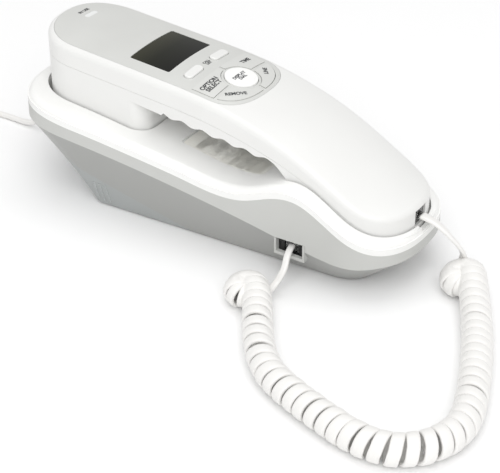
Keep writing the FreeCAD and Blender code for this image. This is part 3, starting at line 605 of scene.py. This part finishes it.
def lettering(name, text, x, y, size, node, turn=0.0, way=1, weight=0.0):
    """Flat printed text laid on a node's upper face (way 1) or lower face (way -1); x, y, size in mm."""
    curve = bpy.data.curves.new(name, "FONT")
    curve.body = text
    curve.size = size * MM
    curve.align_x = "CENTER"
    curve.align_y = "CENTER"
    curve.space_line = 0.85
    curve.offset = weight * size * MM
    source = bpy.data.objects.new(name + "_source", curve)
    bpy.context.scene.collection.objects.link(source)
    mesh = bpy.data.meshes.new_from_object(source)
    bpy.data.objects.remove(source)
    bpy.data.curves.remove(curve)
    tree = surface(node)
    spin = Matrix.Rotation(turn, 3, "Z")
    for vertex in mesh.vertices:
        flat = spin @ Vector((vertex.co.x * way, vertex.co.y, 0.0))
        px, py = flat.x + x * MM, flat.y + y * MM
        hit = tree.ray_cast(Vector((px, py, 0.2 * way)), Vector((0, 0, -way)))
        if hit[0] is None:
            raise ValueError(name + " runs off " + node)
        vertex.co = (px, py, hit[0].z + way * LABEL_LIFT)
    mesh.name = name
    mesh.materials.clear()
    mesh.materials.append(INK)
    piece = bpy.data.objects.new(name, mesh)
    bpy.context.scene.collection.objects.link(piece)
    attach(piece, NODES[node]["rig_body"])
    return piece


def centre_of(node):
    low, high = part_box(node)
    return (low[0] + high[0]) / 2 / MM, (low[1] + high[1]) / 2 / MM


def label_keys():
    for key, (digit, letters) in DIAL_TEXT.items():
        node = "key_dial_" + key
        x, y = centre_of(node)
        if letters:
            lettering("digit_" + key, digit, x + DIGIT_SHIFT, y, DIGIT_SIZE, node, way=-1)
            lettering("letters_" + key, letters, x + LETTERS_SHIFT, y, LETTERS_SIZE, node, way=-1)
        else:
            lettering("digit_" + key, digit, x, y, DIGIT_SIZE, node, way=-1)
    for node, text in FUNCTION_TEXT.items():
        x, y = centre_of(node)
        lettering("text_" + node, text, x, y, FUNCTION_SIZE, node, way=-1)
    for name, text, x, y, size, node, turn in PLATE_TEXT:
        lettering(name, text, x, y, size, node, turn=math.radians(turn), weight=PLATE_TEXT_WEIGHT)


# ---------------------------------------------------------------- stage
def camera():
    heading, height = CAMERA_HEADING, CAMERA_HEIGHT
    back = Vector((-math.cos(height) * math.cos(heading), -math.cos(height) * math.sin(heading),
                   math.sin(height)))
    right = Vector((math.sin(heading), -math.cos(heading), 0.0))
    up = back.cross(right)
    c, s = math.cos(CAMERA_ROLL), math.sin(CAMERA_ROLL)
    right_2 = right * c + up * s
    up_2 = up * c - right * s
    data = bpy.data.cameras.new("camera")
    data.lens = CAMERA_LENS
    data.sensor_width = 36.0
    data.shift_x, data.shift_y = CAMERA_SHIFT
    data.clip_end = 20.0
    seen = bpy.data.objects.new("camera", data)
    turn = Matrix((right_2, up_2, back)).transposed().to_4x4()
    seen.matrix_world = Matrix.Translation(CAMERA_TARGET + back * CAMERA_DISTANCE) @ turn
    bpy.context.scene.collection.objects.link(seen)
    bpy.context.scene.camera = seen


def area_light(name, place, target, size, power):
    data = bpy.data.lights.new(name, "AREA")
    data.shape = "DISK"
    data.size = size
    data.energy = power
    light = bpy.data.objects.new(name, data)
    aim = (Vector(target) - Vector(place)).to_track_quat("-Z", "Y")
    light.matrix_world = Matrix.Translation(place) @ aim.to_matrix().to_4x4()
    bpy.context.scene.collection.objects.link(light)


def stage():
    mesh = bpy.data.meshes.new("floor")
    corners = [(-FLOOR_HALF, -FLOOR_HALF, 0), (FLOOR_HALF, -FLOOR_HALF, 0),
               (FLOOR_HALF, FLOOR_HALF, 0), (-FLOOR_HALF, FLOOR_HALF, 0)]
    mesh.from_pydata(corners, [], [(0, 1, 2, 3)])
    mesh.materials.append(material("floor_white", (0.95, 0.95, 0.95), 0.9))
    floor = bpy.data.objects.new("floor", mesh)
    bpy.context.scene.collection.objects.link(floor)
    world = bpy.data.worlds.new("studio")
    world.use_nodes = True
    world.node_tree.nodes["Background"].inputs["Color"].default_value = (1.0, 1.0, 1.0, 1.0)
    world.node_tree.nodes["Background"].inputs["Strength"].default_value = WORLD_STRENGTH
    bpy.context.scene.world = world
    area_light("key", *KEY_LIGHT)
    area_light("top", *TOP_LIGHT)
    bpy.context.scene.view_settings.view_transform = "Standard"


paint_nodes()
handset_cord()
line_cord()
label_keys()
camera()
stage()
